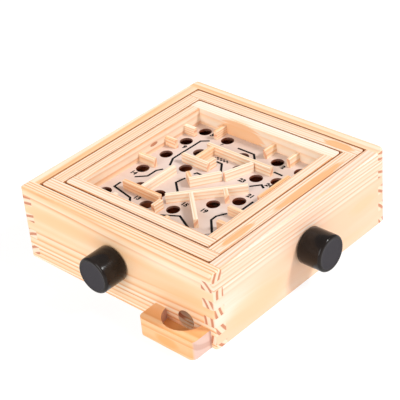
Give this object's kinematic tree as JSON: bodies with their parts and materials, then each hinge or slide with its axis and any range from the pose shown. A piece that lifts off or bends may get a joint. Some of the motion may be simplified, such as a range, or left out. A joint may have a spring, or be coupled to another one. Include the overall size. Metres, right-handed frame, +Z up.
{
  "type": "tilt maze game",
  "caption": "Wooden box labyrinth game: a walled maze plate with holes on two nested tilting frames, worked by side knobs, with a ball tray.",
  "frame": {"origin": "centre of the box's open underside, midway between the outer faces of its four boards, knobs and tray left out", "axes": "+Z up; -Y is the front, with the ball tray and one knob; +X is to the right along the front, towards the other knob"},
  "size_m": [0.229, 0.236, 0.068],
  "materials": {
    "box_pine": "satin",
    "frame_pine": "satin",
    "inner_wood": "matte",
    "tray_wood": "satin",
    "plate_wood": "satin",
    "wall_wood": "satin",
    "black_gloss": "glossy",
    "matte_black": "matte",
    "polished_steel": "polished",
    "plain_steel": "satin",
    "string": "matte"
  },
  "bodies": {
    "box": {"front_board": "box_pine", "back_board": "box_pine", "left_board": "box_pine", "right_board": "box_pine", "run_off_board": "inner_wood", "left_ledge": "inner_wood", "right_ledge": "inner_wood", "corner_deflector": "inner_wood", "ball_tray": "tray_wood", "gimbal_pivot_pins": "plain_steel", "maze_string_left": "string", "maze_string_right": "string", "gimbal_string_front": "string", "gimbal_string_back": "string"},
    "gimbal": {"gimbal_front_bar": "frame_pine", "gimbal_back_bar": "frame_pine", "gimbal_left_bar": "frame_pine", "gimbal_right_bar": "frame_pine", "gimbal_screw_eyes": "plain_steel", "maze_pivot_pins": "plain_steel", "gimbal_string_spring": "plain_steel"},
    "maze": {"maze_front_rail": "frame_pine", "maze_back_rail": "frame_pine", "maze_left_rail": "frame_pine", "maze_right_rail": "frame_pine", "maze_plate": "plate_wood", "wall_long": "wall_wood", "wall_home_side": "wall_wood", "wall_home_front": "wall_wood", "wall_home_stub": "wall_wood", "wall_slant": "wall_wood", "wall_centre": "wall_wood", "wall_centre_stub": "wall_wood", "wall_diagonal": "wall_wood", "wall_diagonal_spur": "wall_wood", "wall_diagonal_stub": "wall_wood", "wall_left_long": "wall_wood", "wall_front_long": "wall_wood", "wall_front_stub": "wall_wood", "wall_right_long": "wall_wood", "walls_back_stubs": "wall_wood", "walls_left_stubs": "wall_wood", "walls_right_stubs": "wall_wood", "walls_front_stubs": "wall_wood", "maze_screw_eyes": "plain_steel", "maze_string_spring": "plain_steel"},
    "front_control": {"front_knob": "black_gloss", "front_shaft": "plain_steel", "front_shaft_collar": "matte_black", "front_string_coil": "string"},
    "right_control": {"right_knob": "black_gloss", "right_shaft": "plain_steel", "right_shaft_collar": "matte_black", "right_string_coil": "string"},
    "ball": {"steel_ball": "polished_steel"}
  },
  "joints": [
    {"name": "gimbal_tilt", "type": "hinge", "parent": "box", "child": "gimbal", "pos_m": [0, 0, 0.058], "axis": [1, 0, 0], "range_deg": [-4, 4], "deforming": ["gimbal_string_front", "gimbal_string_back"]},
    {"name": "maze_tilt", "type": "hinge", "parent": "gimbal", "child": "maze", "pos_m": [0, 0, 0.058], "axis": [0, 1, 0], "range_deg": [-4, 4], "deforming": ["maze_string_left", "maze_string_right"]},
    {"name": "front_knob_turn", "type": "hinge", "parent": "box", "child": "front_control", "pos_m": [-0.0005, -0.1065, 0.0362], "axis": [0, 1, 0], "range_deg": [-49, 49]},
    {"name": "right_knob_turn", "type": "hinge", "parent": "box", "child": "right_control", "pos_m": [0.103, 0.0028, 0.0328], "axis": [1, 0, 0], "range_deg": [-56, 56]},
    {"name": "ball_lift", "type": "slide", "parent": "maze", "child": "ball", "axis": [0, 0, 1], "range_m": [0, 0.05]}
  ],
  "couplings": [
    {"joint": "maze_tilt", "follows": "front_knob_turn", "ratio": 0.08},
    {"joint": "gimbal_tilt", "follows": "right_knob_turn", "ratio": 0.071}
  ]
}
